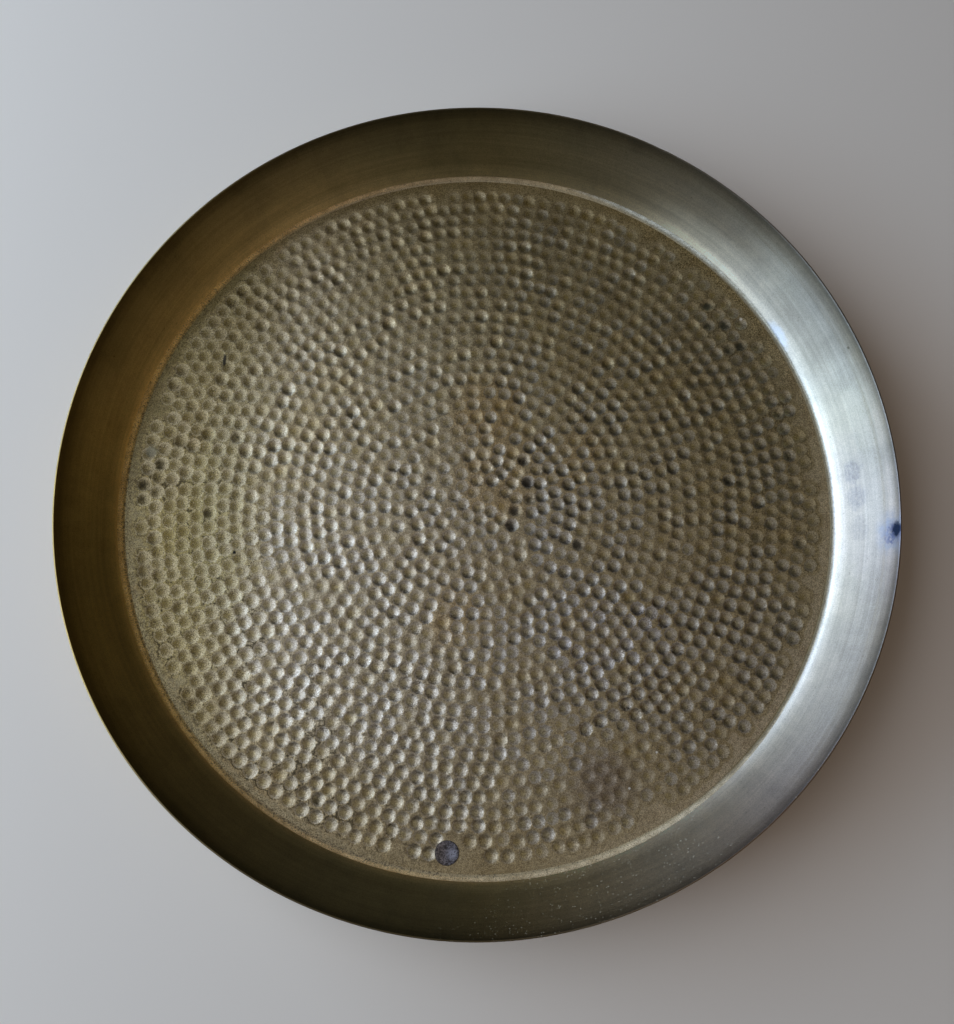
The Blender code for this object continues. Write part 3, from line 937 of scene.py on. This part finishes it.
def pitted_braze():
    """Dull braze, its tones by side partly painted light and shade: golden at the left, brown above, grey at
    the right, painted shade with a painted highlight above it at the upper right, painted shade low at the
    right, and a gritty toe.
    """
    material, shader, place = new_finish("pitted braze")
    patch = cloud(place, 40.0, 4.0)
    streak = cloud(place, 170.0, 4.0, 0.6)
    pits = cloud(place, 900.0, 4.0, 0.7)
    dust = cloud(place, 1300.0, 3.0)
    speckle = cloud(place, 1700.0, 2.0, 0.6)
    across, height = part_of(place, "X"), part_of(place, "Z")
    colour = paint(span(across, -0.21, -0.08), (0.97, 0.66, 0.22), (0.80, 0.54, 0.27))
    colour = paint(span(patch, 0.35, 0.65, 0.0, 0.3), colour, (0.66, 0.44, 0.17))
    colour = paint(span(dust, 0.48, 0.66, 0.0, 0.5), colour, (0.90, 0.66, 0.38))
    colour = paint(span(across, 0.06, 0.16, 0.0, 0.8), colour, (0.50, 0.45, 0.36))
    colour = paint(span(towards(place, 0.35, 0.937), 0.14, 0.215, 0.0, 0.75), colour, (0.38, 0.285, 0.175))
    # Painted shade at the upper right, with a painted highlight along its upper part
    upper_right = towards(place, 0.68, 0.73)
    colour = paint(span(upper_right, 0.19, 0.22, 0.0, 0.85), colour, (0.30, 0.255, 0.180))
    lit = times(span(upper_right, 0.19, 0.22), span(height, 0.0023, 0.0034, 0.0, 0.9))
    colour = paint(lit, colour, (0.60, 0.555, 0.455))
    colour = paint(span(towards(place, 0.5, -0.866), 0.17, 0.215, 0.0, 0.7), colour, (0.56, 0.43, 0.29))
    # Painted shade on the lower part of the bead at the right
    right = times(span(across, 0.12, 0.20), span(height, 0.0022, 0.0032, 1.0, 0.2))
    colour = paint(right, colour, (0.16, 0.115, 0.065))
    colour = glaze(span(streak, 0.40, 0.66, 0.0, 0.7), colour, (0.66, 0.62, 0.55))
    colour = glaze(span(streak, 0.30, 0.44, 0.6, 0.0), colour, (1.22, 1.22, 1.20))
    worn_height = stirred(height, pits, 0.0016)
    toe = span(worn_height, PLATE_TOP - 0.0001, PLATE_TOP + 0.0010, 0.9, 0.0)
    plain = paint(span(across, -0.20, -0.09), (0.46, 0.33, 0.12), (0.38, 0.29, 0.17))
    plain = paint(span(across, 0.10, 0.17), plain, (0.165, 0.112, 0.048))
    colour = paint(toe, colour, plain)
    colour = glaze(span(speckle, 0.50, 0.64, 0.0, 0.8), colour, (0.56, 0.54, 0.50))
    colour = glaze(span(speckle, 0.34, 0.50, 0.8, 0.0), colour, (1.38, 1.38, 1.36))
    low = times(span(height, PLATE_TOP, PLATE_TOP + 0.0017, 0.11, 0.0),
                span(towards(place, 0.85, 0.5), -0.20, 0.05, 1.0, 0.2))
    colour = paint(span(plus(pits, low), 0.58, 0.66, 0.0, 0.85), colour, (0.10, 0.08, 0.05))
    feed(shader.inputs["Base Color"], colour)
    feed(shader.inputs["Metallic"], span(worn_height, 0.0026, 0.0044, 0.20, 0.60))
    shader.inputs["Specular IOR Level"].default_value = 0.25
    feed(shader.inputs["Roughness"], span(pits, 0.40, 0.70, 0.42, 0.62))
    grain(shader, minus(times(dust, 0.4), pits), 0.0003, 0.5)
    return material


bead.data.materials.append(pitted_braze())
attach(bead, "root")
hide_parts("braze_bead")

# Solder spot. A round blob of grey tin solder on the plate near the lower edge, melted on and
# pressed flat, with a low rim and a shallow dish where it was wiped.
SPOT_CENTRE = solder_place + Vector((0.0, 0.0, PLATE_TOP))
SPOT_RADIUS = (spot_high[0] - spot_low[0]) / 2
SPOT_SINK = 0.0007
SPOT_RISE = 0.0003
SPOT_SIDES = 72
SPOT_RINGS = 9
SPOT_DISH = 0.00018
SPOT_LUMPS = 0.00006
SPOT_FALL = 0.00014        # drop of the outermost part
SPOT_RIM = 0.1             # share of the radius that drops
bpy.ops.object.select_all(action="DESELECT")
bpy.ops.mesh.primitive_cylinder_add(vertices=SPOT_SIDES, radius=SPOT_RADIUS, depth=SPOT_SINK + SPOT_RISE,
                                    location=SPOT_CENTRE + Vector((0.0, 0.0, (SPOT_RISE - SPOT_SINK) / 2)))
solder = bpy.context.object
solder.name = solder.data.name = "solder_blob"
bpy.ops.object.transform_apply(location=True, rotation=True, scale=True)
bpy.ops.object.mode_set(mode="EDIT")
bpy.ops.mesh.select_mode(type="FACE")
bpy.ops.mesh.select_all(action="DESELECT")
bpy.ops.object.mode_set(mode="OBJECT")
for face in solder.data.polygons:
    face.select = face.normal.z > 0.9
bpy.ops.object.mode_set(mode="EDIT")
for ring in range(SPOT_RINGS):
    bpy.ops.mesh.inset(thickness=SPOT_RADIUS / (SPOT_RINGS + 1))
bpy.ops.mesh.poke()
bpy.ops.object.mode_set(mode="OBJECT")
for vertex in solder.data.vertices:
    if vertex.co.z > PLATE_TOP:
        share = (Vector((vertex.co.x, vertex.co.y, PLATE_TOP)) - SPOT_CENTRE).length / SPOT_RADIUS
        uneven = noise.noise(Vector(vertex.co) * 420.0)
        vertex.co.z += -SPOT_DISH * max(0.0, 1.0 - share ** 2) + SPOT_LUMPS * uneven
        vertex.co.z -= SPOT_FALL * max(0.0, share - (1.0 - SPOT_RIM)) / SPOT_RIM
smooth(solder, 50.0)


def grey_solder():
    """Dull grey solder, mottled and pitted, bluish at the right with a painted highlight there, and a dark
    edge.
    """
    material, shader, place = new_finish("grey solder")
    mottle = cloud(place, 560.0, 5.0, 0.75)
    pits = cloud(place, 1000.0, 3.0, 0.6)
    bluish = span(part_of(place, "X"), SPOT_CENTRE.x - 0.005, SPOT_CENTRE.x + 0.003)
    pale = paint(bluish, (0.25, 0.205, 0.195), (0.27, 0.255, 0.30))
    colour = paint(span(mottle, 0.40, 0.60), (0.055, 0.047, 0.048), pale)
    # Painted highlight at the right
    shine_centre = SPOT_CENTRE + Vector((0.0028, -0.0004, 0.0))
    shine = patch_at(place, shine_centre, (0.0030, 0.0030, 1.0), mottle, 0.5)
    colour = paint(times(mottle, 1.2, shine), colour, (0.38, 0.38, 0.46))
    colour = paint(span(pits, 0.54, 0.64, 0.0, 0.8), colour, (0.06, 0.055, 0.055))
    middle = patch_at(place, SPOT_CENTRE, (SPOT_RADIUS * 0.94, SPOT_RADIUS * 0.94, 1.0), None, 0.06)
    colour = paint(minus(0.8, times(middle, 0.8)), colour, (0.05, 0.045, 0.04))
    feed(shader.inputs["Base Color"], colour)
    shader.inputs["Metallic"].default_value = 1.0
    feed(shader.inputs["Roughness"], span(mottle, 0.30, 0.70, 0.38, 0.58))
    grain(shader, minus(mottle, pits), 0.0003, 0.5)
    return material


solder.data.materials.append(grey_solder())
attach(solder, "root")
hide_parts("solder_spot")
